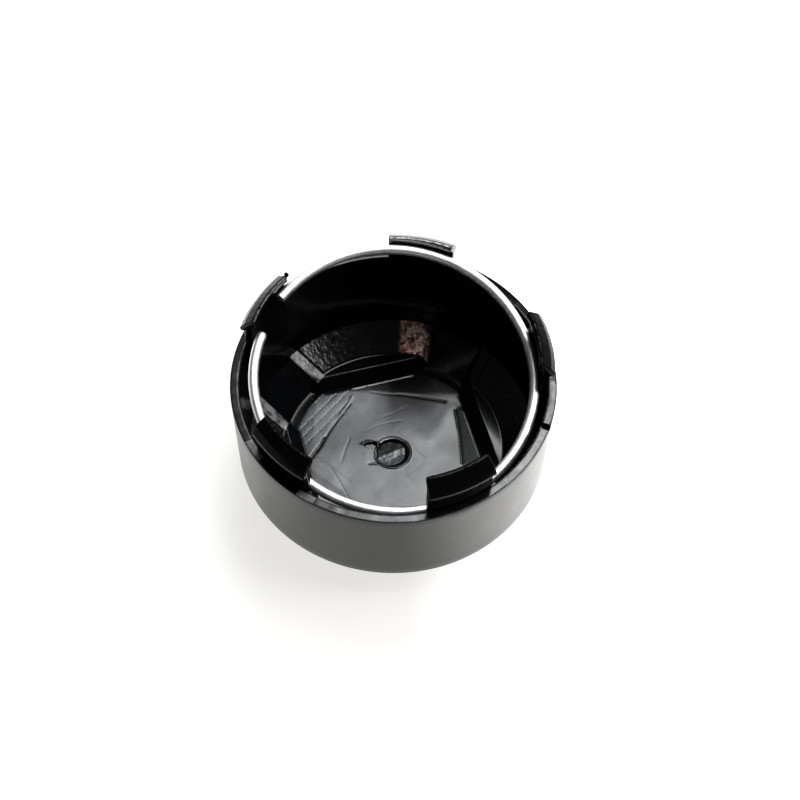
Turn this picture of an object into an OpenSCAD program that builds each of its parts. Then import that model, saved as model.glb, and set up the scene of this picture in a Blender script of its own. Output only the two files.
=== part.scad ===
// Wheel centre cap: a moulded cup that snaps into the hub hole of a wheel with
// five hooked clips, and the split wire ring that spreads the clips.
// It stands on its show face, with the open side and the clips up.
// Origin: centre of the show face. +Z points from the show face to the clips.

/* [Cap] */
// Outside diameter of the skirt
cap_d = 64; // [56:0.5:76]
// Height of the skirt's top rim above the show face
rim_z = 30.7; // [28:0.1:36]
// Height of the skirt's lower corner above the show face
skirt_z = 9.6; // [9:0.1:10.5]
// Thickness of the skirt at its rim
wall = 1.8; // [1.5:0.1:2.4]
// Thickness of the floor behind the show face
floor_t = 1.9; // [1.5:0.1:2.2]
// Draft of the skirt's inner wall, from the rim down to the floor
draft = 0.55; // [0:0.05:0.8]

/* [Blocks] */
// Number of raised blocks on the floor
block_n = 4; // [3:1:4]
// Turn of the first block from +X
block_turn = 16.8; // [0:0.1:90]
// Height of a block's flat ledge above the floor
ledge_h = 3.2; // [2:0.1:3.6]
// Distance of a block's straight face from the axis, at the floor
chord_d = 17.9; // [16:0.1:19]
// Radius where the flat ledge turns into the rising cone
ledge_r = 23.4; // [22.5:0.1:24]
// Half angle of a block where its ledge ends
block_half = 30.2; // [24:0.1:31]

/* [Clips] */
// Number of clips
clip_n = 5; // [3:1:6]
// Turn of the first clip from +X
clip_turn = 9; // [0:0.5:72]
// Half angle that a clip covers
clip_half = 13.3; // [9:0.1:16]
// Height of a clip's crest above the rim
clip_h = 8.7; // [7.5:0.1:11]
// How far the hook stands out past the clip's plate
hook = 0.85; // [0.5:0.05:1.4]
// Thickness of a clip's plate
clip_t = 1.45; // [1.1:0.05:1.8]

/* [Ring] */
// Diameter of the ring's wire
wire_d = 2; // [1.4:0.1:2]
// Tilt of the ring about X, rear side up
ring_tilt = 12; // [0:0.5:12]
// Tilt of the ring about Y, left side up
ring_roll = 4.5; // [0:0.5:5]
// Height of the ring's centre above the rim
ring_z = 1.1; // [0.5:0.05:1.2]
// Angle where the ring's upper end is
ring_end = 148; // [140:0.5:150]
// Width of the gap in the ring
ring_gap = 18.5; // [4:0.5:30]

/* [Details] */
// Radius of the round mark at the floor's centre
mark_r = 3.5; // [2:0.1:5]
// Depth of the round mark at the floor's centre
mark_h = 0.7; // [0.3:0.1:0.8]
// Width of the notch in the rim
notch_w = 1.7; // [0.5:0.1:2]
// Depth of the notch in the rim
notch_h = 1.2; // [0.5:0.1:2]

/* [Hidden] */
R = cap_d / 2;
ri = R - wall;                    // inner radius of the skirt at the rim
rb = ri - draft;                  // inner radius of the skirt at its foot
floor_r = ledge_r - 0.1;          // radius of the flat floor between the blocks
ledge_z = floor_t + ledge_h;
face_r = R - skirt_z / tan(56);   // radius of the flat show face
cone_s = 0.7;                     // rise of a block's outer cone
gap_z = floor_t + (rb - floor_r) * 1.03;   // foot of the inner wall between the blocks
chord_s = 0.8;                    // run of a block's straight face for each mm up
big = 3 * R;
plate_r = ri;                     // outer face of the clips
recess_r = ri - clip_t;           // inner face of the clips
lip_r = recess_r - 1.05;          // inner face of the clip's crest
crest_z = rim_z + clip_h;
hook_z = rim_z + clip_h * 0.59;   // underside of the hook
wire_r = wire_d / 2;
ring_r = recess_r - wire_r - 0.25; // centre line of the wire

// Section of the cup, from the axis out
module shell() {
  rotate_extrude($fn = 180)
    polygon([
      [0, 0], [face_r, 0], [R, skirt_z], [R, rim_z - 0.15], [R - 0.15, rim_z],
      [ri + 0.25, rim_z], [ri, rim_z - 0.25], [rb, gap_z], [floor_r, floor_t], [0, floor_t]
    ]);
}

// Half space above a plane through [x, y, z], whose normal leans by `slope`
// from +Z towards the direction `az`
module above(p, az, slope) {
  translate(p) rotate([0, slope, az])
    translate([-big, -big, 0]) cube([2 * big, 2 * big, big]);
}

// One raised block: a straight sloped face, a flat ledge with a curved back,
// a cone that rises to the skirt, and two sloped ends
module block() {
  ax = ledge_r * cos(block_half);
  ay = ledge_r * sin(block_half);
  difference() {
    rotate_extrude($fn = 180)
      polygon([
        [0.4 * R, floor_t - 0.2], [floor_r + 0.2, floor_t - 0.2], [rb + 0.25, gap_z - 0.1],
        [rb + 0.25, ledge_z + (rb + 0.25 - ledge_r) * cone_s], [ledge_r, ledge_z], [0.4 * R, ledge_z]
      ]);
    above([chord_d, 0, floor_t], 180, atan2(1, chord_s));
    above([ax, ay, ledge_z], 153.4, 66.9);
    above([ax, -ay, ledge_z], -153.4, 66.9);
    // keeps the block on its own side of the axis
    translate([-2 * big, -big, -big]) cube(2 * big);
  }
}

// Wedge of the given half angle about +X, from the floor up
module wedge(half) {
  linear_extrude(height = 2 * rim_z)
    polygon([[0, 0], [big * cos(half), -big * sin(half)], [big, 0], [big * cos(half), big * sin(half)]]);
}

// One clip: a plate that grows out of the skirt's inner wall, a hook on its
// outside, a sloped lead-in up to the crest and a recess for the ring inside
module clip() {
  intersection() {
    rotate_extrude($fn = 180)
      polygon([
        [recess_r, rim_z - 11.8], [plate_r + 0.1, rim_z - 14.4], [plate_r + 0.6, rim_z - 14.4],
        [plate_r + 0.6, rim_z - 1], [plate_r, rim_z - 1], [plate_r, hook_z],
        [plate_r + hook - 0.12, hook_z + 0.02], [plate_r + hook, hook_z + 0.14],
        [plate_r + hook, hook_z + 0.7], [plate_r + hook - 0.1, hook_z + 0.86],
        [lip_r + 0.7, crest_z - 0.04], [lip_r + 0.55, crest_z], [lip_r + 0.1, crest_z],
        [lip_r, crest_z - 0.1], [lip_r, crest_z - 1.15], [recess_r, crest_z - 2.25]
      ]);
    wedge(clip_half);
  }
}

module cap_body() {
  color([0.07, 0.07, 0.07])
    difference() {
      union() {
        shell();
        for (i = [0 : block_n - 1]) rotate([0, 0, block_turn + i * 360 / block_n]) block();
        for (i = [0 : clip_n - 1]) rotate([0, 0, clip_turn + i * 360 / clip_n]) clip();
      }
      // round mark at the centre of the floor
      rotate_extrude($fn = 96)
        polygon([
          [0, floor_t - mark_h], [mark_r * 0.55, floor_t - mark_h * 0.92], [mark_r * 0.86, floor_t - mark_h * 0.6],
          [mark_r, floor_t], [mark_r, floor_t + 0.5], [0, floor_t + 0.5]
        ]);
      // notch straight across the rim
      rotate([0, 0, 340.5]) translate([ri - 0.5, -notch_w / 2, rim_z - notch_h])
        cube([wall + 1.5, notch_w, notch_h + 1]);
    }
}

module spring_ring() {
  color([0.82, 0.82, 0.84])
    translate([0.25, -0.3, rim_z + ring_z]) rotate([ring_tilt, ring_roll, 0]) rotate([0, 0, ring_end + ring_gap]) {
      rotate_extrude(angle = 360 - ring_gap, $fn = 180)
        translate([ring_r, 0]) circle(r = wire_r, $fn = 48);
      // the lower end is rounded over, the upper end is cut square
      translate([ring_r, 0, 0]) rotate([90, 0, 0])
        rotate_extrude($fn = 48)
          polygon([
            [0, -wire_r], [0.96 * wire_r, -wire_r], [0.96 * wire_r, 0.05 * wire_r], [0.87 * wire_r, 0.4 * wire_r],
            [0.66 * wire_r, 0.66 * wire_r], [0.36 * wire_r, 0.82 * wire_r], [0, 0.86 * wire_r]
          ]);
    }
}

cap_body();
spring_ring();
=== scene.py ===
import math

import bpy
import numpy as np
from mathutils import Matrix, Vector
from mathutils.geometry import delaunay_2d_cdt


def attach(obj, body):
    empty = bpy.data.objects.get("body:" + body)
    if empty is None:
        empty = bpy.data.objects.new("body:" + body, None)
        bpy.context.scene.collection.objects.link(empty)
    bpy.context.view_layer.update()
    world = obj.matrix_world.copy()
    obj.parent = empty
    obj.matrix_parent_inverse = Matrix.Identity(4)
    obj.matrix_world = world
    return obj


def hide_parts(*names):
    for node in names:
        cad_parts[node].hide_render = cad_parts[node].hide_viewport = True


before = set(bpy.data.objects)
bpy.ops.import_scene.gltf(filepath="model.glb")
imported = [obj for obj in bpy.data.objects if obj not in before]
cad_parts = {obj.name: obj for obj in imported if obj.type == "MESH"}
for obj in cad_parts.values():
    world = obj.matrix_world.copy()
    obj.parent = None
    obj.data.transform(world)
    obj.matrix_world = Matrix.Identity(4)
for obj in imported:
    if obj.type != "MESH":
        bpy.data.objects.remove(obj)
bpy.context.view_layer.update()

# ---------------------------------------------------------------- sizes, in millimetres
R = 32.0                   # outer radius of the skirt
RI = 30.2                  # inner radius of the skirt at the rim
RB = 29.65                 # inner radius of the skirt at its foot
RIM = 30.7                 # height of the rim
SKIRT = 9.6                # height of the skirt's lower corner
FACE_R = 25.525            # radius of the show face
FLOOR = 1.9                # height of the floor
LEDGE = 5.1                # height of the blocks' ledges
LEDGE_R = 23.4
FLOOR_R = 23.3
CHORD = 17.9
CREST = 39.4
HOOK = 35.833
RECESS = 28.75
LIP = 27.7
BLOCKS = [16.8 + 90 * i for i in range(4)]
CLIPS = [9 + 72 * i for i in range(5)]
SHIFT = [0.0, -0.55, 1.3, 1.1, -0.9]       # how far each clip strays from its even place, degrees
LEAN = [0.0, 0.25, 0.0, 0.0, 0.0]          # how far each clip's top leans out, mm
RING_AT = (0.25, -0.3, 31.8)               # centre of the wire ring
RING_R, RING_TILT, RING_ROLL = 27.5, 12.0, 4.5
RING_START, RING_SPAN = 166.5, 341.5
SIDE_U, SIDE_V = 20.22, 11.77              # a point on the side plane of a block, at ledge height
MM = 0.001

scene = bpy.context.scene
scene.view_settings.view_transform = "Standard"
scene.view_settings.look = "None"


def link(obj):
    scene.collection.objects.link(obj)
    return obj


# ---------------------------------------------------------------- camera
def make_camera():
    el, roll, dist = math.radians(57.0222), math.radians(1.58758), 8.81295
    ox, oy, focal = 392.6276, 434.0768, 1350.0
    ce, se, cr, sr = math.cos(el), math.sin(el), math.cos(roll), math.sin(roll)
    right, fwd, up = Vector((1, 0, 0)), Vector((0, ce, -se)), Vector((0, se, ce))
    r2, u2 = cr * right + sr * up, -sr * right + cr * up
    x, y = (ox - 400) / focal * dist, -(oy - 400) / focal * dist
    place = (-(x * r2 + y * u2 + dist * fwd) * R + Vector((0, 0, RIM - 0.65908 * R))) * MM
    cam = bpy.data.cameras.new("photo_camera")
    obj = link(bpy.data.objects.new("photo_camera", cam))
    m = Matrix((r2, u2, -fwd)).transposed().to_4x4()
    m.translation = place
    obj.matrix_world = m
    cam.sensor_width = 36
    cam.lens = focal * 36 / 800
    cam.clip_start, cam.clip_end = 0.01, 20
    scene.camera = obj


make_camera()


# ---------------------------------------------------------------- small maths
def smooth(t):
    t = np.clip(t, 0, 1)
    return t * t * (3 - 2 * t)


def smax(a, b, k):
    h = np.clip(0.5 + 0.5 * (a - b) / k, 0, 1)
    return b + (a - b) * h + 0.5 * k * h * (1 - h) * 2


def smin(a, b, k):
    return -smax(-a, -b, k)


class Lattice:
    """Seeded value noise in the plane, from -1 to 1."""

    def __init__(self, seed):
        self.t = np.random.default_rng(seed).uniform(-1, 1, (256, 256))

    def __call__(self, x, y):
        ix, iy = np.floor(x).astype(int), np.floor(y).astype(int)
        fx, fy = x - ix, y - iy
        fx = fx * fx * fx * (fx * (fx * 6 - 15) + 10)
        fy = fy * fy * fy * (fy * (fy * 6 - 15) + 10)
        t = self.t
        a, b = t[ix & 255, iy & 255], t[(ix + 1) & 255, iy & 255]
        c, d = t[ix & 255, (iy + 1) & 255], t[(ix + 1) & 255, (iy + 1) & 255]
        return (a + (b - a) * fx) + ((c + (d - c) * fx) - (a + (b - a) * fx)) * fy

    def fbm(self, x, y, octaves=3):
        s, a = 0, 1
        for i in range(octaves):
            s = s + a * self(x * 2 ** i + 17.3 * i, y * 2 ** i - 9.1 * i)
            a *= 0.5
        return s


def track(x, y, pts, width, a0, a1):
    """A groove or ridge along a line of points, with its height going from a0 to a1."""
    out = np.zeros_like(x)
    pts = np.array(pts, float)
    seg = np.hypot(*(pts[1:] - pts[:-1]).T)
    run = np.concatenate([[0], np.cumsum(seg)]) / seg.sum()
    best = np.full_like(x, 1e9)
    for p, q, r0, r1 in zip(pts[:-1], pts[1:], run[:-1], run[1:]):
        d = q - p
        t = np.clip(((x - p[0]) * d[0] + (y - p[1]) * d[1]) / (d @ d), 0, 1)
        dist = np.hypot(x - p[0] - t * d[0], y - p[1] - t * d[1])
        m = dist < best
        best = np.where(m, dist, best)
        out = np.where(m, a0 + (a1 - a0) * (r0 + (r1 - r0) * t), out)
    return out * np.exp(-(best / width) ** 2), best


# ---------------------------------------------------------------- the cup's inside as a height field
n_low, n_mid, n_fine = Lattice(11), Lattice(23), Lattice(37)
TRACKS = [
    # points, width, height at the start, height at the end
    ([(-17.3, -1.8), (-16.9, -1.1), (-15.5, 1.2), (-14.6, 3.3)], 0.2, -0.22, -0.16),
    ([(-14.6, 3.3), (-12.2, 7.7), (-9.5, 11.9)], 0.16, -0.07, -0.03),
    ([(-12.2, 7.9), (-9.0, 14.0)], 0.16, 0.03, 0.06),
    ([(-9.2, 3.7), (-10.1, 0.4), (-10.8, -2.6)], 0.14, -0.03, -0.02),
    ([(-16.9, -0.8), (-12.7, -4.3), (-8.5, -11.7)], 0.14, -0.04, -0.02),
    ([(-16.9, -0.6), (-14.2, -2.7), (-8.7, -7.4)], 0.14, -0.03, -0.02),
    ([(0.9, 14.8), (5.7, 14.2), (11.2, 13.3)], 0.2, -0.05, -0.12),
    ([(13.4, 11.3), (14.3, 4.7), (14.9, -2.0)], 0.18, -0.10, -0.08),
    ([(0.9, 5.8), (6.8, -0.5)], 0.12, -0.03, -0.03),
    ([(2.8, -4.8), (5.4, -8.2)], 0.12, -0.03, -0.02),
    ([(-5.7, 5.4), (-3.4, 6.8), (-0.9, 7.6), (1.7, 8.2)], 0.12, -0.012, -0.018),
    ([(-4.6, 7.9), (-0.4, 9.8), (3.3, 11.7)], 0.12, -0.010, -0.014),
    ([(7.0, -1.2), (5.6, -3.2), (3.7, -4.9)], 0.12, -0.012, -0.012),
    ([(-5.4, 15.2), (-2.0, 14.7), (0.9, 14.6)], 0.18, -0.04, -0.06),
    ([(-4.9, -2.7), (-3.3, -2.6), (-1.5, -2.3)], 0.16, -0.06, -0.14),
    ([(-3.4, 1.2), (-2.7, -0.2), (-3.1, -1.2), (-2.1, -2.3)], 0.2, -0.15, -0.2),
]


def blocks(x, y):
    """Height of the raised blocks, and how near each point lies to one of their edges."""
    r = np.hypot(x, y)
    h, near = np.full_like(x, -9.0), np.full_like(x, 9.0)
    cone = LEDGE + (r - LEDGE_R) * 0.7
    for az in BLOCKS:
        c, s = math.cos(math.radians(az)), math.sin(math.radians(az))
        u, v = x * c + y * s, -x * s + y * c
        top = smax(np.full_like(x, LEDGE), cone, 0.14)
        chord = FLOOR + (u - CHORD) / 0.8
        side = LEDGE + 2.098 * (u - SIDE_U) - 1.049 * (np.abs(v) - SIDE_V)
        b = smin(smin(top, chord, 0.16), side, 0.14)
        # a scored line sets off a strip along each side
        p, q = u - 21.2, np.abs(v) - 9.6
        run, off = p * 0.722 + q * 0.692, -p * 0.692 + q * 0.722
        score = smooth((run + 0.3) / 0.3) * smooth((6.9 - run) / 0.5)
        b = b - score * np.where(r > LEDGE_R + 0.1, 0.24 * np.exp(-(off / 0.12) ** 2), 0)
        b = np.where(u > 8, b, -9.0)
        raw = np.sort(np.stack([np.maximum(LEDGE, cone), chord, side]), axis=0)
        edge = np.minimum(raw[1] - raw[0], np.where(raw[0] > LEDGE - 0.05, np.abs(cone - LEDGE) * 1.3, 9))
        edge = np.minimum(edge, np.where(score > 0, np.abs(off) * 0.9, 9))
        live = (u > 8) & (b > FLOOR - 1) & (np.abs(v) < 16)
        near = np.where(live & (b > FLOOR - 0.2), np.minimum(near, edge), near)
        h = np.maximum(h, b)
    return h, near


def relief(x, y):
    """Small heights on the floor: steps, creases, the round mark and its torn edge."""
    near = np.full_like(x, 9.0)
    z = 0.03 * n_low.fbm(x / 7.0, y / 7.0, 2) + 0.003 * n_mid.fbm(x / 1.3, y / 1.3, 2)
    # terraces in the left part
    s = -0.788 * x + 0.616 * y
    steps = np.array([15.6, 17.3, 18.9, 20.9, 22.3])
    lift = np.array([0.006, 0.010, 0.005, 0.009, 0.006])
    left = smooth((-x - 7.5) / 3)
    for si, li in zip(steps, lift):
        z = z + left * li * smooth((s - si) / 0.25 + 0.5)
        z = z - left * 0.014 * np.exp(-((s - si) / 0.13) ** 2)
        near = np.where(left > 0.02, np.minimum(near, np.abs(s - si) * 2.2), near)
    for pts, w, a0, a1 in TRACKS:
        t, d = track(x, y, pts, w, a0, a1)
        z = z + t * (0.55 if abs(a0) < 0.05 else 1.0)
        near = np.minimum(near, d / w * 0.28)
    # facet to the lower left, and a soft streak to the right
    f = (x + 12.9) * 0.6 + (y + 7.5) * 0.8
    z = z - 0.045 * np.clip(-f - 0.1, 0, 3)
    near = np.where(np.abs(f) < 0.2, np.minimum(near, 0.3), near)
    z = z + track(x, y, [(8.0, 3.5), (12.3, 10.8)], 1.3, 0.035, 0.02)[0]
    # the floor dishes a little towards the rear
    z = z + 0.0023 * np.clip(y - 1.2, 0, 14) ** 2
    z = z + 0.0013 * np.clip(-x - 7, 0, 10) ** 2
    g = y - 14.6 + 0.14 * (x - 3)
    z = z + np.where(g > 0, 0.012 * np.clip(g, 0, 6), 0) * smooth((x + 4) / 4)
    # an apron rises towards the right block's foot
    e = (x - 13.4) + 0.113 * (y - 11.3)
    z = z + 0.15 * np.clip(e, 0, 6) * smooth((12.2 - y) / 1.5) * smooth((y + 4.5) / 3)
    near = np.where((np.abs(e) < 0.25) & (y > -5) & (y < 13), np.minimum(near, 0.15), near)
    # the round mark: a steep edge, a raised lip and a broken bottom
    r = np.hypot(x - 0.1, y - 0.05)
    a = np.arctan2(y, x)
    torn = smooth((np.cos(a - 3.05) - 0.35) / 0.5)
    rm = 3.42 + 0.07 * np.sin(3 * a + 1) + 0.05 * n_mid(a * 4, a * 0 + 3) + torn * 0.16 * n_fine(a * 9, a * 0 + 8)
    wedge = x * 0.45 - y * 0.9 + 0.12 * n_mid(x * 1.1 + 5, y * 1.1)
    bottom = -0.60 + 0.02 * n_mid.fbm(x / 1.2, y / 1.2, 2) + 0.13 * np.minimum(wedge + 0.55, 0) + 0.07 * np.maximum(wedge - 1.0, 0) + 0.03 * (x + y)
    side_w = 0.34 - 0.1 * torn + 0.45 * smooth(np.cos(a + 0.55) / 0.8)
    inside = smooth((rm - r) / side_w)
    z = z * (1 - inside) + bottom * inside
    crescent = 0.5 + 0.5 * np.cos(a + 0.75)
    z = z + 0.15 * np.exp(-((r - rm - 0.32) / 0.24) ** 2) * (0.2 + crescent)
    near = np.where(r < 4.3, np.minimum(near, 0.1), near)
    # the torn stub beside it
    q = np.hypot((x + 4.75) / 1.45, (y - 1.75) / 0.75) + 0.16 * n_mid(x * 1.7, y * 1.7)
    z = z - 0.6 * smooth((1.05 - q) / 0.3)
    z = z + 0.16 * np.exp(-((q - 1.25) / 0.2) ** 2) * smooth((y - 1.6) / 0.5)
    near = np.where(q < 1.7, np.minimum(near, 0.1), near)
    return z, near


def inside(x, y):
    """Height of the inner surface at x, y; how near to an edge; and which finish it has."""
    r = np.hypot(x, y)
    b, edge = blocks(x, y)
    gap = FLOOR + (r - FLOOR_R) * 1.03
    rel, fine = relief(x, y)
    flat = smooth((22.6 - r) / 1.5) * smooth((FLOOR + 0.1 - b) / 0.8 + 0.5)
    base = smax(FLOOR + rel * flat, gap, 0.16)
    h = smax(base, b, 0.16)
    foot = np.where(b < 20, np.abs(b - np.maximum(FLOOR, gap)), 9)
    near = np.minimum(edge, foot * 1.0)
    near = np.minimum(near, np.where(b < base, np.abs(gap - FLOOR), 9))
    near = np.where(flat > 0.05, np.minimum(near, fine), near)
    # wrinkles on the blocks' cones, strongest on the rear one
    on_cone = smooth((b - base) / 0.3) * smooth((r - LEDGE_R - 0.25) / 0.4)
    rough = n_fine.fbm(x / 0.55 + 0.8 * n_mid(x / 2, y / 2), y / 0.8, 3)
    h = h + on_cone * (0.010 + 0.030 * smooth((-x - 6) / 6)) * np.minimum(rough, 0.3)
    near = np.where((on_cone > 0.3) & (x < -4) & (y > 10), np.minimum(near, 0.3), near)
    zone = np.where((b > base - 0.1) | (gap > FLOOR + 0.3), 4, 0)
    zone = np.where(on_cone > 0.5, 2, zone)
    # the strips along the blocks' sides; one strip on the rear block and one on the left block get a lighter grey
    # material, a painted highlight
    for az in BLOCKS:
        c, s = math.cos(math.radians(az)), math.sin(math.radians(az))
        u, v = x * c + y * s, -x * s + y * c
        p, q = u - 21.2, np.abs(v) - 9.6
        run, off = p * 0.722 + q * 0.692, -p * 0.692 + q * 0.722
        side = LEDGE + 2.098 * (u - SIDE_U) - 1.049 * (np.abs(v) - SIDE_V)
        top = np.maximum(LEDGE, LEDGE + (r - LEDGE_R) * 0.7)
        strip = (u > 8) & ((v > 0) == (az < 150)) & (az > 90) & (az < 240) & (off > 0.1) & (side > top - 0.06) & (r > LEDGE_R - 0.5 + 0.0 * r)
        zone = np.where(strip, 3, zone)
        h = h + np.where(strip, 0.016 * n_fine(off * 4.5, run * 0.35), 0)
    # a painted highlight line, in pale grey, along the foot of the rear block's straight face, over a slight ridge
    c, s = math.cos(math.radians(BLOCKS[1])), math.sin(math.radians(BLOCKS[1]))
    u, v = x * c + y * s, -x * s + y * c
    foot_line = np.abs(u - CHORD + 0.10 + 0.03 * n_fine(v * 2.0, v * 0 + 11))
    live = (v > -9.6) & (v < 4.2) & (np.abs(v - 0.9) > 0.12)
    zone = np.where((foot_line < 0.22) & live, 10, zone)
    near = np.where((foot_line < 0.4) & (v > -10.4) & (v < 4.8), np.minimum(near, 0.1), near)
    h = h + np.where(live, 0.05 * np.exp(-(foot_line / 0.14) ** 2), 0)
    return h, near, zone


def hexgrid(step, r):
    dy = step * math.sqrt(3) / 2
    n, m = int(r / step) + 2, int(r / dy) + 2
    j, i = np.mgrid[-m:m + 1, -n:n + 1]
    x, y = (i + 0.5 * (j % 2)) * step, j * dy
    keep = np.hypot(x, y) < r - step * 0.6
    return x[keep], y[keep]


COLS = 540
RING = [(RB * math.cos(2 * math.pi * i / COLS), RB * math.sin(2 * math.pi * i / COLS)) for i in range(COLS)]


def inner_surface():
    xs, ys = [], []
    x, y = hexgrid(0.42, RB)
    near = inside(x, y)[1]
    keep = near > 0.42
    xs.append(x[keep]); ys.append(y[keep])
    x, y = hexgrid(0.2, RB)
    near = inside(x, y)[1]
    keep = (near <= 0.42) & (near > 0.2)
    xs.append(x[keep]); ys.append(y[keep])
    x, y = hexgrid(0.115, RB)
    near = inside(x, y)[1]
    keep = near <= 0.2
    xs.append(x[keep]); ys.append(y[keep])
    # the rear block's cone carries finer wrinkles
    x, y = np.concatenate(xs), np.concatenate(ys)
    pts = [Vector(p) for p in RING] + [Vector(p) for p in zip(x.tolist(), y.tolist())]
    edges = [(i, (i + 1) % COLS) for i in range(COLS)]
    v, e, f, ov, oe, of = delaunay_2d_cdt(pts, edges, [list(range(COLS))], 2, 1e-7)
    v = np.array([(p[0], p[1]) for p in v])
    src = [o[0] if o else -1 for o in ov]
    h, near, zone = inside(v[:, 0], v[:, 1])
    f = [t for t in f if len(t) == 3]
    cen = v[np.array(f)].mean(1)
    fz = inside(cen[:, 0], cen[:, 1])[2]
    ring = {s: i for i, s in enumerate(src) if 0 <= s < COLS}
    return v, h, f, fz, [ring[i] for i in range(COLS)]


# ---------------------------------------------------------------- the cup as one closed mesh
def build_cup():
    v, h, f, fz, ring = inner_surface()
    verts = [(a, b, c) for (a, b), c in zip(v.tolist(), h.tolist())]
    faces = [tuple(t) for t in f]
    # the sense of the triangles: seen from above, counter-clockwise
    t0 = faces[0]
    a, b, c = (np.array(verts[i][:2]) for i in t0)
    if np.cross(b - a, c - a) < 0:
        faces = [t[::-1] for t in faces]
    mats = fz.tolist()
    ang = np.arange(COLS) * 2 * math.pi / COLS
    ca, sa = np.cos(ang), np.sin(ang)
    z0 = h[ring]
    loops = [list(ring)]

    # painted highlight: these arcs of the rim top take a lighter grey copy of the rim plastic in place of glossy
    # reflections
    painted_highlight_arcs = [(343.0, 359.5), (313.0, 339.2), (209.0, 218.0), (236.5, 243.5)]

    def row(r, z, mat):
        start = len(verts)
        r = np.broadcast_to(r, (COLS,)); z = np.broadcast_to(z, (COLS,))
        verts.extend(zip((r * ca).tolist(), (r * sa).tolist(), z.tolist()))
        new = list(range(start, start + COLS))
        old = loops[-1]
        for i in range(COLS):
            j = (i + 1) % COLS
            faces.append((old[i], old[j], new[j], new[i]))
            az = (i + 0.5) * 360 / COLS
            # painted shade: the rim's rear right, from 22 to 62 degrees, takes the duller clip copies
            if mat == 1 and 22 < az < 62:
                mats.append(11 if az < 38 else 9)
            elif mat == 1 and r[i] > RI + 0.5 and any(a < az < b for a, b in painted_highlight_arcs):
                mats.append(7)
            else:
                mats.append(mat)
        loops.append(new)

    deg = np.degrees(ang)
    wave = 0.02 * n_low(deg / 14, deg * 0)
    for t in (0.006, 0.03, 0.1, 0.22, 0.36, 0.5, 0.64, 0.78, 0.9, 0.97, 1.0):
        row(RB + (RI - RB) * t + wave * math.sin(math.pi * t), z0 + (RIM - 0.25 - z0) * t, 4)
    # rim: rounded inner edge, flat top with slight steps, rounded outer edge
    dz = -0.02 + 0.02 * n_mid(deg / 3.1, deg * 0 + 5) - 0.03 * smooth((deg - 278) / 1.0) * smooth((300 - deg) / 4)
    dz = np.minimum(dz, 0)
    tilt = 0.012 * n_low(deg / 9, deg * 0 + 40)
    chip = 0.03 * np.clip(n_fine(deg / 0.9, deg * 0 + 2), 0, 1)
    row(RI + 0.05 + chip, RIM - 0.11 + dz * 0.5, 1)
    row(RI + 0.14 + chip, RIM - 0.035 + dz, 1)
    row(RI + 0.27 + chip, RIM + dz, 1)
    for t in (0.25, 0.5, 0.75):
        rr = RI + 0.27 + (R - 0.17 - RI - 0.27) * t
        row(rr, RIM + dz + np.minimum(tilt * (t - 0.5), 0) - 0.012 * np.abs(n_fine(deg / 1.4, deg * 0 + 7 * t)), 1)
    row(R - 0.17, RIM + dz, 1)
    row(R - 0.08, RIM - 0.03 + dz, 5)
    row(R - 0.02, RIM - 0.10 + dz, 5)
    row(R, RIM - 0.2, 5)
    swell = 0.012 * (n_low(deg / 11, deg * 0 + 60) - 1)
    for t in (0.08, 0.2, 0.35, 0.5, 0.65, 0.8, 0.92):
        row(R + swell * math.sin(math.pi * t), RIM - 0.2 - (RIM - 0.2 - SKIRT - 0.12) * t, 5)
    row(R, SKIRT + 0.12, 5)
    row(R - 0.03, SKIRT + 0.01, 5)
    row(R - 0.10, SKIRT - 0.14, 5)
    for t in (0.12, 0.4, 0.7, 0.9):
        row(R + (FACE_R - R) * t, SKIRT * (1 - t), 6)
    row(FACE_R + 0.10, 0.15, 6)
    row(FACE_R - 0.03, 0.035, 6)
    row(FACE_R - 0.2, 0.0, 6)
    for r in (24.5, 18, 10, 4):
        row(r, 0.0, 6)
    verts.append((0, 0, 0))
    last = loops[-1]
    for i in range(COLS):
        faces.append((last[i], last[(i + 1) % COLS], len(verts) - 1))
        mats.append(6)
    return verts, faces, mats


def mesh_object(name, verts, faces, mats):
    me = bpy.data.meshes.new(name)
    me.from_pydata([(x * MM, y * MM, z * MM) for x, y, z in verts], [], faces)
    me.polygons.foreach_set("material_index", mats)
    me.validate()
    return bpy.data.objects.new(name, me)


# ---------------------------------------------------------------- clips
def rounded(poly, radii):
    """The polygon with each corner replaced by a short arc of three points."""
    out = []
    n = len(poly)
    for i, (p, r) in enumerate(zip(poly, radii)):
        p = np.array(p, float)
        a, b = np.array(poly[i - 1], float) - p, np.array(poly[(i + 1) % n], float) - p
        la, lb = np.hypot(*a), np.hypot(*b)
        a, b = a / la, b / lb
        half = math.acos(max(-1, min(1, float(a @ b)))) / 2
        if r <= 0 or half > 1.5:
            out.append(tuple(p)); continue
        d = min(r / math.tan(half), la * 0.45, lb * 0.45)
        r = d * math.tan(half)
        c = p + (a + b) / np.hypot(*(a + b)) * (r / math.sin(half))
        s, e = p + a * d - c, p + b * d - c
        for t in (0, 0.33, 0.67, 1):
            w = s * (1 - t) + e * t
            out.append(tuple(c + w / np.hypot(*w) * r))
    return out


def inset(poly, d):
    p = np.array(poly)
    n = len(p)
    area = 0.5 * np.sum(p[:, 0] * np.roll(p[:, 1], -1) - np.roll(p[:, 0], -1) * p[:, 1])
    sign = 1 if area > 0 else -1
    out = []
    for i in range(n):
        a, b = p[i] - p[i - 1], p[(i + 1) % n] - p[i]
        a, b = a / (np.hypot(*a) + 1e-12), b / (np.hypot(*b) + 1e-12)
        na, nb = np.array([-a[1], a[0]]) * sign, np.array([-b[1], b[0]]) * sign
        m = na + nb
        m = m / max(np.hypot(*m), 1e-9)
        out.append(p[i] + m * d / max(0.5, float(m @ na)))
    return out


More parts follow.
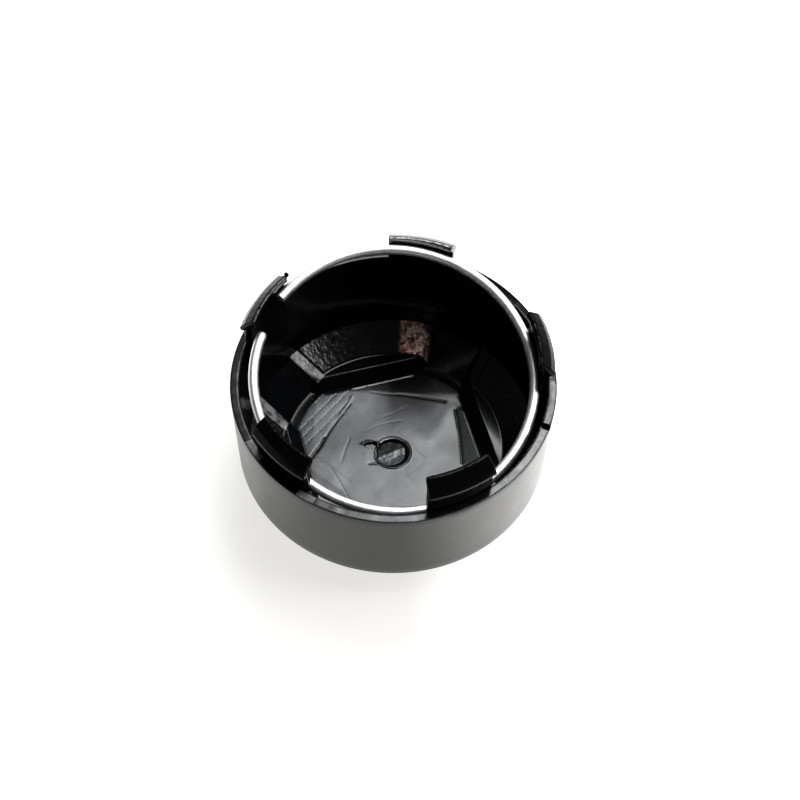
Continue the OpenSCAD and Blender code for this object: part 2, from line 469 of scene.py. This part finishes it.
def build_clip(index):
    hook = 0.85
    P = [
        (RECESS, RIM - 11.8), (RI + 0.1, RIM - 14.4), (RI + 0.6, RIM - 14.4),
        (RI + 0.6, RIM - 1), (RI, RIM - 1), (RI, HOOK),
        (RI + hook - 0.12, HOOK + 0.02), (RI + hook, HOOK + 0.14),
        (RI + hook, HOOK + 0.7), (RI + hook - 0.1, HOOK + 0.86),
        (RI - 0.15, CREST - 1.35), (LIP + 0.8, CREST - 0.10), (LIP + 0.5, CREST), (LIP + 0.12, CREST - 0.03),
        (LIP, CREST - 0.16), (LIP - 0.02, CREST - 1.3), (RECESS, CREST - 2.35)]
    rad = [0.3, 0, 0, 0, 0, 0.15, 0.08, 0.1, 0.25, 0.25, 0.5, 0.3, 0.2, 0.08, 0.08, 0.15, 0.3]
    prof = rounded(P, rad)
    n = len(prof)
    az, half = CLIPS[index] + SHIFT[index], 13.2 if index != 4 else 12.8
    seed = Lattice(100 + index)
    stations = [(-half, 0.2), (-half + 0.1, 0.08), (-half + 0.3, 0.0)]
    k = 44
    stations += [(-half + 0.3 + (2 * half - 0.6) * i / k, 0.0) for i in range(1, k)]
    stations += [(half - 0.3, 0.0), (half - 0.1, 0.08), (half, 0.2)]
    verts, faces = [], []
    for t, d in stations:
        ring = inset(prof, d) if d else prof
        for j, (r, z) in enumerate(ring):
            # a hand-trimmed moulding: the crest and hook edges wander a little
            top = smooth(np.array((z - 34.5) / 1.5))
            wob = float(seed.fbm(np.array(t / 1.1), np.array(z / 1.5 + r), 3))
            fine = float(seed(np.array(t / 0.35), np.array(z * 1.3)))
            rr = r + float(top) * (0.025 * wob - 0.01)
            zz = z - float(smooth(np.array((z - 38.6) / 0.6))) * (0.05 * abs(wob) + 0.02 * abs(fine))
            rr = rr + LEAN[index] * float(smooth(np.array((z - 29.5) / 9.5)))
            rr = min(rr, RI + hook + max(LEAN[index], 0))
            a = math.radians(az + t)
            verts.append((rr * math.cos(a), rr * math.sin(a), zz))
    m = len(stations)
    for i in range(m - 1):
        for j in range(n):
            q = (j + 1) % n
            faces.append((i * n + j, i * n + q, (i + 1) * n + q, (i + 1) * n + j))
    faces.append(tuple(range(n))[::-1])
    faces.append(tuple((m - 1) * n + j for j in range(n)))
    return verts, faces


def lump(name, centre, size, seed, mat=9, turn=0.0):
    """A small irregular shard of plastic."""
    import bmesh
    bm = bmesh.new()
    bmesh.ops.create_icosphere(bm, subdivisions=3, radius=1)
    lat = Lattice(seed)
    c, s = math.cos(math.radians(turn)), math.sin(math.radians(turn))
    for v in bm.verts:
        k = 1 + 0.25 * float(lat(np.array(v.co.x * 1.7 + 3), np.array(v.co.y * 1.7 + v.co.z * 1.3)))
        x, y, z = v.co.x * size[0] * k, v.co.y * size[1] * k, v.co.z * size[2] * k
        v.co = Vector((centre[0] + c * x - s * y, centre[1] + s * x + c * y, centre[2] + z)) * MM
    me = bpy.data.meshes.new(name)
    bm.to_mesh(me)
    bm.free()
    for p in me.polygons:
        p.material_index = mat
    return bpy.data.objects.new(name, me)


def at(az, r, z):
    return (r * math.cos(math.radians(az)), r * math.sin(math.radians(az)), z)


def join_all(base, tools, cuts):
    for o in [base] + tools + cuts:
        link(o)
    for i, (o, op) in enumerate([(t, "UNION") for t in tools] + [(t, "DIFFERENCE") for t in cuts]):
        m = base.modifiers.new("b%d" % i, "BOOLEAN")
        m.operation, m.solver, m.object = op, "MANIFOLD", o
    dg = bpy.context.evaluated_depsgraph_get()
    me = bpy.data.meshes.new_from_object(base.evaluated_get(dg), preserve_all_data_layers=True, depsgraph=dg)
    base.modifiers.clear()
    base.data = me
    for o in tools + cuts:
        d = o.data
        bpy.data.objects.remove(o)
        bpy.data.meshes.remove(d)
    return base


def fix_winding(obj):
    import bmesh
    bm = bmesh.new()
    bm.from_mesh(obj.data)
    bmesh.ops.recalc_face_normals(bm, faces=bm.faces)
    if bm.calc_volume(signed=True) < 0:
        bmesh.ops.reverse_faces(bm, faces=bm.faces)
    bm.to_mesh(obj.data)
    bm.free()


# ---------------------------------------------------------------- materials
class Nodes:
    def __init__(self, name):
        self.mat = bpy.data.materials.new(name)
        self.mat.use_nodes = True
        self.tree = self.mat.node_tree
        self.bsdf = self.tree.nodes["Principled BSDF"]

    def new(self, kind, **props):
        n = self.tree.nodes.new(kind)
        for k, v in props.items():
            setattr(n, k, v)
        return n

    def link(self, a, b):
        self.tree.links.new(a, b)

    def set(self, **values):
        for k, v in values.items():
            self.bsdf.inputs[k.replace("_", " ")].default_value = v

    def coords(self, stretch=None):
        v = self.new("ShaderNodeTexCoord").outputs["Object"]
        if stretch is None:
            return v
        m = self.new("ShaderNodeMapping")
        m.inputs["Rotation"].default_value = [math.radians(a) for a in stretch[1]]
        m.inputs["Scale"].default_value = stretch[0]
        self.link(v, m.inputs["Vector"])
        return m.outputs["Vector"]

    def noise(self, vec, scale, detail=3.0, rough=0.5, distortion=0.0):
        n = self.new("ShaderNodeTexNoise")
        n.inputs["Scale"].default_value = scale
        n.inputs["Detail"].default_value = detail
        n.inputs["Roughness"].default_value = rough
        n.inputs["Distortion"].default_value = distortion
        self.link(vec, n.inputs["Vector"])
        return n.outputs["Fac"]

    def ramp(self, fac, stops):
        n = self.new("ShaderNodeValToRGB")
        r = n.color_ramp
        while len(r.elements) < len(stops):
            r.elements.new(0.5)
        for e, (p, c) in zip(r.elements, stops):
            e.position = p
            e.color = (c, c, c, 1) if isinstance(c, (int, float)) else (*c, 1)
        self.link(fac, n.inputs["Fac"])
        return n.outputs["Color"]

    def math(self, op, a, b):
        n = self.new("ShaderNodeMath", operation=op)
        for s, v in zip(n.inputs, (a, b)):
            if isinstance(v, (int, float)):
                s.default_value = v
            else:
                self.link(v, s)
        return n.outputs[0]

    def mix(self, fac, a, b):
        n = self.new("ShaderNodeMix", data_type="RGBA")
        self.link(fac, n.inputs["Factor"])
        for s, v in (("A", a), ("B", b)):
            sock = [i for i in n.inputs if i.name == s and i.type == "RGBA"][0]
            if isinstance(v, tuple):
                sock.default_value = (*v, 1)
            else:
                self.link(v, sock)
        return [o for o in n.outputs if o.type == "RGBA"][0]

    def band(self, value, a, b, c, d):
        """1 between b and c, and 0 below a and above d."""
        parts = []
        for lo, hi in ((a, b), (d, c)):
            n = self.new("ShaderNodeMapRange", interpolation_type="SMOOTHSTEP")
            n.inputs["From Min"].default_value, n.inputs["From Max"].default_value = min(lo, hi), max(lo, hi)
            if lo > hi:
                n.inputs["To Min"].default_value, n.inputs["To Max"].default_value = 1.0, 0.0
            self.link(value, n.inputs["Value"])
            parts.append(n.outputs["Result"])
        return self.math("MULTIPLY", *parts)

    def bump(self, height, strength, distance, normal=None):
        n = self.new("ShaderNodeBump")
        n.inputs["Strength"].default_value = strength
        n.inputs["Distance"].default_value = distance
        self.link(height, n.inputs["Height"])
        if normal is not None:
            self.link(normal, n.inputs["Normal"])
        return n.outputs["Normal"]


def plastic(name, spec, dark, light, r0, r1, scale=90, bump=None, fine=None):
    m = Nodes(name)
    v = m.coords()
    m.set(IOR=1.5, Specular_IOR_Level=spec)
    m.link(m.ramp(m.noise(v, scale, 4), [(0.3, dark), (0.7, light)]), m.bsdf.inputs["Base Color"])
    m.link(m.ramp(m.noise(v, scale * 1.7, 4, 0.6), [(0.3, r0), (0.7, r1)]), m.bsdf.inputs["Roughness"])
    n = None
    if bump:
        n = m.bump(m.noise(v, bump[0], 2), bump[1], bump[2])
    if fine:
        n = m.bump(m.noise(v, fine[0], 3), fine[1], fine[2], n)
    if n is not None:
        m.link(n, m.bsdf.inputs["Normal"])
    return m


SPEC = 0.40


def make_materials():
    mats = []
    black, black2 = (0.0012, 0.0014, 0.0018), (0.0028, 0.0031, 0.0036)
    # 0 floor, 1 rim, 2 cones (grain, with a painted reflection on the rear one), 3 strips on the cones with a painted
    # highlight, 4 walls and blocks, 5 skirt, 6 underside, 7 rim arcs with a painted highlight, 8 rear clip's top as a
    # glossier copy (painted highlight), 9 other clips as a duller copy (painted shade), 10 painted highlight line, 11
    # left rear clip as a duller copy (painted shade)
    mats.append(plastic("black_gloss", SPEC, black, black2, 0.22, 0.29, 70, (160, 0.10, 0.0002), (900, 0.05, 0.00003)).mat)
    mats.append(plastic("black_rim", 0.27, black, black2, 0.14, 0.28, 200, (420, 0.25, 0.0001), (1500, 0.15, 0.00004)).mat)
    # the cones are grained, with a warm painted reflection on the rear one
    m = Nodes("black_grain_and_painted_reflection")
    v = m.coords()
    m.set(IOR=1.5, Specular_IOR_Level=0.34)
    sep = m.new("ShaderNodeSeparateXYZ")
    m.link(v, sep.inputs[0])
    # painted reflection: a warm reddish-brown patch with pale flecks on the rear cone stands in for a warm light's
    # reflection
    bx = m.math("MULTIPLY", m.band(sep.outputs["X"], 0.0004, 0.0024, 0.0050, 0.0082), m.band(sep.outputs["Y"], 0.0195, 0.0215, 0.040, 0.050))
    blotch = m.ramp(m.noise(v, 560, 4, 0.6, 0.6), [(0.36, 0.0), (0.58, 1.0)])
    painted_reflection_mask = m.math("MULTIPLY", bx, blotch)
    grain = m.ramp(m.noise(v, 500, 4), [(0.3, (0.0014, 0.0014, 0.0017)), (0.7, (0.006, 0.006, 0.007))])
    pale = m.math("MULTIPLY", painted_reflection_mask, m.ramp(m.noise(v, 1150, 4, 0.6, 0.6), [(0.46, 0.0), (0.58, 1.0)]))
    red = m.mix(painted_reflection_mask, grain, (0.56, 0.25, 0.18))
    m.link(m.mix(pale, red, (1.0, 0.86, 0.78)), m.bsdf.inputs["Base Color"])
    m.link(m.ramp(m.noise(v, 850, 4, 0.6), [(0.3, 0.13), (0.7, 0.22)]), m.bsdf.inputs["Roughness"])
    n = m.bump(m.noise(v, 1100, 3, 0.55, 0.4), 0.55, 0.00016)
    m.link(m.bump(m.noise(v, 2200, 2), 0.2, 0.00004, n), m.bsdf.inputs["Normal"])
    mats.append(m.mat)
    # lighter mottled grey: a painted highlight on the strips of the rear and left blocks
    m = Nodes("black_strip_painted_highlight")
    v = m.coords()
    m.set(IOR=1.5, Specular_IOR_Level=0.5)
    m.link(m.ramp(m.noise(v, 420, 4), [(0.38, (0.010, 0.010, 0.011)), (0.52, (0.16, 0.163, 0.167))]), m.bsdf.inputs["Base Color"])
    m.link(m.ramp(m.noise(v, 400, 3), [(0.3, 0.24), (0.7, 0.36)]), m.bsdf.inputs["Roughness"])
    m.link(m.bump(m.noise(v, 1300, 3), 0.5, 0.00012), m.bsdf.inputs["Normal"])
    mats.append(m.mat)
    mats.append(plastic("black_wall", 0.20, black, black2, 0.09, 0.15, 120, (240, 0.12, 0.0002), (1200, 0.08, 0.00004)).mat)
    m = plastic("black_satin", 0.40, (0.003, 0.003, 0.003), (0.0065, 0.0065, 0.0062), 0.26, 0.34, 60,
                (90, 0.08, 0.0003), (2200, 0.30, 0.00004))
    mats.append(m.mat)
    mats.append(plastic("black_under", 0.10, (0.004, 0.004, 0.0042), (0.007, 0.007, 0.0072), 0.36, 0.46, 80,
                        (120, 0.06, 0.0002), (2000, 0.10, 0.00003)).mat)
    # lighter grey rim copy: a painted highlight on arcs of the rim top and on burrs c to f
    mats.append(plastic("black_rim_painted_highlight", 0.38, (0.01, 0.01, 0.01), (0.15, 0.15, 0.147), 0.22, 0.38, 300,
                        (420, 0.3, 0.0001), (1500, 0.2, 0.00004)).mat)
    # glossier clip copy: a painted highlight on the rear clip's top
    mats.append(plastic("clip_plastic_painted_highlight", 0.90, (0.0008, 0.0009, 0.0011), (0.0018, 0.0018, 0.002), 0.24, 0.30, 160,
                        (300, 0.04, 0.0001), (1600, 0.04, 0.00004)).mat)
    # duller clip copy: painted shade on the other clips, burrs a and b and part of the rim
    mats.append(plastic("clip_plastic_painted_shade", 0.04, (0.0008, 0.0009, 0.0011), (0.0018, 0.0018, 0.002), 0.10, 0.18, 160,
                        (300, 0.10, 0.0001), (1600, 0.10, 0.00004)).mat)
    # pale grey: a painted highlight line at the foot of the rear block's straight face
    mats.append(plastic("black_painted_highlight_line", 0.5, (0.34, 0.34, 0.34), (0.60, 0.60, 0.60), 0.3, 0.4, 900,
                        (1500, 0.2, 0.00005)).mat)
    # duller clip copy: painted shade on the left rear clip and part of the rim
    mats.append(plastic("clip_plastic_soft_painted_shade", 0.12, (0.0008, 0.0009, 0.0011), (0.0018, 0.0018, 0.002), 0.10, 0.18, 160,
                        (300, 0.10, 0.0001), (1600, 0.10, 0.00004)).mat)
    return mats


def steel():
    m = Nodes("spring_steel")
    v = m.coords()
    m.set(Metallic=1.0)
    m.link(m.ramp(m.noise(v, 300, 3), [(0.3, (0.84, 0.84, 0.85)), (0.7, (0.95, 0.95, 0.96))]), m.bsdf.inputs["Base Color"])
    m.link(m.ramp(m.noise(v, 700, 3), [(0.3, 0.36), (0.7, 0.46)]), m.bsdf.inputs["Roughness"])
    return m.mat


# ---------------------------------------------------------------- build the cap
cup = mesh_object("cap", *build_cup())
fix_winding(cup)
tools = []
for i in range(5):
    v, f = build_clip(i)
    # the rear clip's top takes the glossier copy (painted highlight); the left rear clip and the others take duller
    # copies (painted shade)
    o = mesh_object("clip_%d" % i, v, f, [{1: 8 if max(v[k][2] for k in q) > 37.5 else 9, 2: 11}.get(i, 9) for q in f])
    fix_winding(o)
    tools.append(o)
# burrs a and b take the duller clip copy (painted shade); burrs c to f take the lighter rim copy (painted highlight)
tools.append(lump("burr_a", at(139.9, 28.6, 38.75), (0.55, 0.45, 0.5), 5))
tools.append(lump("burr_b", at(22.0, 28.9, 38.2), (0.30, 0.28, 0.3), 6))
tools.append(lump("burr_c", at(24.3, 30.0, 30.75), (0.55, 0.28, 0.30), 7, 7, 25))
tools.append(lump("burr_d", at(22.7, 29.3, 31.5), (0.30, 0.35, 0.55), 8, 7, 40))
tools.append(lump("burr_e", at(26.6, 30.9, 30.65), (0.45, 0.22, 0.20), 9, 7, 10))
tools.append(lump("burr_f", at(21.9, 28.75, 33.2), (0.22, 0.30, 0.60), 10, 7, 0))
cuts = []
notch = [(RI - 0.5, -0.85), (R + 1, -0.85), (R + 1, 0.85), (RI - 0.5, 0.85)]
a = math.radians(340.5)
nv = [(x * math.cos(a) - y * math.sin(a), x * math.sin(a) + y * math.cos(a), z) for z in (RIM - 1.2, RIM + 1) for x, y in notch]
cuts.append(mesh_object("notch", nv, [(0, 1, 2, 3)[::-1], (4, 5, 6, 7), (0, 1, 5, 4), (1, 2, 6, 5), (2, 3, 7, 6), (3, 0, 4, 7)], [4] * 6))
fix_winding(cuts[0])
mats = make_materials()
for o in [cup] + tools + cuts:
    for m in mats:
        o.data.materials.append(m)
cap = join_all(cup, tools, cuts)
if not cap.data.materials:
    for m in mats:
        cap.data.materials.append(m)
cap.data.shade_smooth()
cap.data.set_sharp_from_angle(angle=math.radians(38))
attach(cap, "root")
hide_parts("cap_body")
print("cap", len(cap.data.vertices), "verts", sum(len(p.vertices) - 2 for p in cap.data.polygons), "tris", [m.name if m else None for m in cap.data.materials])


# ---------------------------------------------------------------- the spring ring
def build_ring():
    wr, rr, sides = 1.0, RING_R, 32
    tilt = Matrix.Rotation(math.radians(RING_ROLL), 4, "Y") @ Matrix.Rotation(math.radians(RING_TILT), 4, "X")
    start, span, n = RING_START, RING_SPAN, 520
    stations = []
    # the lower end is rounded over
    for d, k in ((-0.86, 0.0), (-0.82, 0.36), (-0.66, 0.66), (-0.4, 0.87), (-0.05, 0.96)):
        stations.append((start + math.degrees(d / rr), k * wr))
    for i in range(n + 1):
        stations.append((start + span * i / n, wr))
    # the upper end is cut square, with a narrow rounded edge
    end = start + span
    stations = [s for s in stations if s[0] < end - 0.2]
    stations += [(end - 0.12, wr), (end - 0.03, wr * 0.97), (end, wr * 0.9), (end, 0.0)]
    verts, faces = [], []
    rings = []
    for ang, k in stations:
        a = math.radians(ang)
        # the free ends stray from the circle: the lower one in, the upper one out
        bent = rr - 0.26 * max(0.0, 1 - (ang - start) / 22) ** 1.5 + 0.16 * max(0.0, 1 - (start + span - ang) / 22) ** 1.5
        c = Vector((bent * math.cos(a), bent * math.sin(a), 0))
        out = Vector((math.cos(a), math.sin(a), 0))
        if k == 0:
            rings.append([len(verts)])
            verts.append(tilt @ c + Vector(RING_AT))
            continue
        ids = []
        for j in range(sides):
            b = 2 * math.pi * j / sides
            p = c + out * (k * math.cos(b)) + Vector((0, 0, k * math.sin(b)))
            ids.append(len(verts))
            verts.append(tilt @ p + Vector(RING_AT))
        rings.append(ids)
    for p, q in zip(rings[:-1], rings[1:]):
        for j in range(sides):
            k = (j + 1) % sides
            if len(p) == 1:
                faces.append((p[0], q[k], q[j]))
            elif len(q) == 1:
                faces.append((p[j], p[k], q[0]))
            else:
                faces.append((p[j], p[k], q[k], q[j]))
    return [tuple(v) for v in verts], faces


v, f = build_ring()
ring = link(mesh_object("wire_ring", v, f, [0] * len(f)))
fix_winding(ring)
ring.data.materials.append(steel())
ring.data.shade_smooth()
ring.data.set_sharp_from_angle(angle=math.radians(40))
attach(ring, "root")
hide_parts("spring_ring")


# ---------------------------------------------------------------- floor, world and lights
def make_stage():
    me = bpy.data.meshes.new("floor")
    s = 3.0
    me.from_pydata([(-s, -s, 0), (s, -s, 0), (s, s, 0), (-s, s, 0)], [], [(0, 1, 2, 3)])
    floor = link(bpy.data.objects.new("floor", me))
    m = Nodes("pale_floor")
    v = m.coords()
    m.link(m.ramp(m.noise(v, 12, 3), [(0.3, (0.270, 0.268, 0.260)), (0.7, (0.290, 0.288, 0.280))]), m.bsdf.inputs["Base Color"])
    m.set(Roughness=0.8, Specular_IOR_Level=0.1, Emission_Color=(1.0, 0.992, 0.965, 1))
    # brighter behind the object and to its right, where the light comes from
    sep = m.new("ShaderNodeSeparateXYZ")
    m.link(v, sep.inputs[0])
    east = m.new("ShaderNodeMapRange", interpolation_type="SMOOTHSTEP")
    for k, a in (("From Min", 0.002), ("From Max", 0.045), ("To Min", 0.0), ("To Max", 1.5)):
        east.inputs[k].default_value = a
    m.link(sep.outputs["X"], east.inputs["Value"])
    north = m.new("ShaderNodeMapRange", interpolation_type="SMOOTHSTEP")
    for k, a in (("From Min", 0.0), ("From Max", 0.09), ("To Min", 0.75), ("To Max", 1.8)):
        north.inputs[k].default_value = a
    m.link(sep.outputs["Y"], north.inputs["Value"])
    # painted shadow: the floor glows less just left of the object than further left
    west = m.new("ShaderNodeMapRange", interpolation_type="SMOOTHSTEP")
    for k, a in (("From Min", -0.065), ("From Max", -0.025), ("To Min", 0.30), ("To Max", 0.0)):
        west.inputs[k].default_value = a
    m.link(sep.outputs["X"], west.inputs["Value"])
    near = m.band(sep.outputs["Y"], -0.6, -0.5, 0.035, 0.075)
    both = m.math("ADD", m.math("MULTIPLY", east.outputs["Result"], near), m.math("SUBTRACT", north.outputs["Result"], 0.75))
    both = m.math("MULTIPLY", both, m.band(sep.outputs["X"], -0.16, -0.10, 0.10, 0.16))
    m.link(m.math("ADD", m.math("ADD", both, 0.75), west.outputs["Result"]), m.bsdf.inputs["Emission Strength"])
    floor.data.materials.append(m.mat)

    # a studio that is dark on the camera's side and bright behind and to the right
    world = bpy.data.worlds.new("studio")
    scene.world = world
    world.use_nodes = True
    t = world.node_tree
    bg = t.nodes["Background"]
    tc = t.nodes.new("ShaderNodeTexCoord")
    dot = t.nodes.new("ShaderNodeVectorMath")
    dot.operation = "DOT_PRODUCT"
    dot.inputs[1].default_value = (0.50, 0.86, 0.0)
    t.links.new(tc.outputs["Generated"], dot.inputs[0])
    ramp = t.nodes.new("ShaderNodeMapRange")
    ramp.interpolation_type = "SMOOTHSTEP"
    for k, v in (("From Min", -0.10), ("From Max", 0.75), ("To Min", 0.06), ("To Max", 0.9)):
        ramp.inputs[k].default_value = v
    t.links.new(dot.outputs["Value"], ramp.inputs["Value"])
    path = t.nodes.new("ShaderNodeLightPath")
    mix = t.nodes.new("ShaderNodeMix")
    mix.data_type = "FLOAT"
    t.links.new(path.outputs["Is Camera Ray"], mix.inputs["Factor"])
    t.links.new(ramp.outputs["Result"], mix.inputs["A"])
    mix.inputs["B"].default_value = 1.0
    t.links.new(mix.outputs["Result"], bg.inputs["Strength"])
    bg.inputs["Color"].default_value = (1, 1, 1, 1)

    def area(name, place, target, size, power, colour=(1, 1, 1)):
        l = bpy.data.lights.new(name, "AREA")
        l.shape = "RECTANGLE"
        l.size, l.size_y = size
        l.energy = power
        l.color = colour
        o = link(bpy.data.objects.new(name, l))
        o.location = place
        o.rotation_mode = "QUATERNION"
        o.rotation_quaternion = (Vector(target) - Vector(place)).to_track_quat("-Z", "Y")
        return o

    area("softbox_top", (0.30, 0.05, 0.95), (0, 0, 0.02), (0.36, 0.36), 4)
    area("softbox_rear", (0.060, 0.395, 0.915), (0, 0, 0.02), (0.22, 0.36), 4.4, (0.94, 0.985, 1.0))
    area("softbox_edge", (0.17, 0.43, 0.89), (0, 0, 0.02), (0.09, 0.34), 1.1)
    area("softbox_right", (0.76, -0.04, 0.65), (0, 0, 0.02), (0.34, 0.34), 3.4)


make_stage()
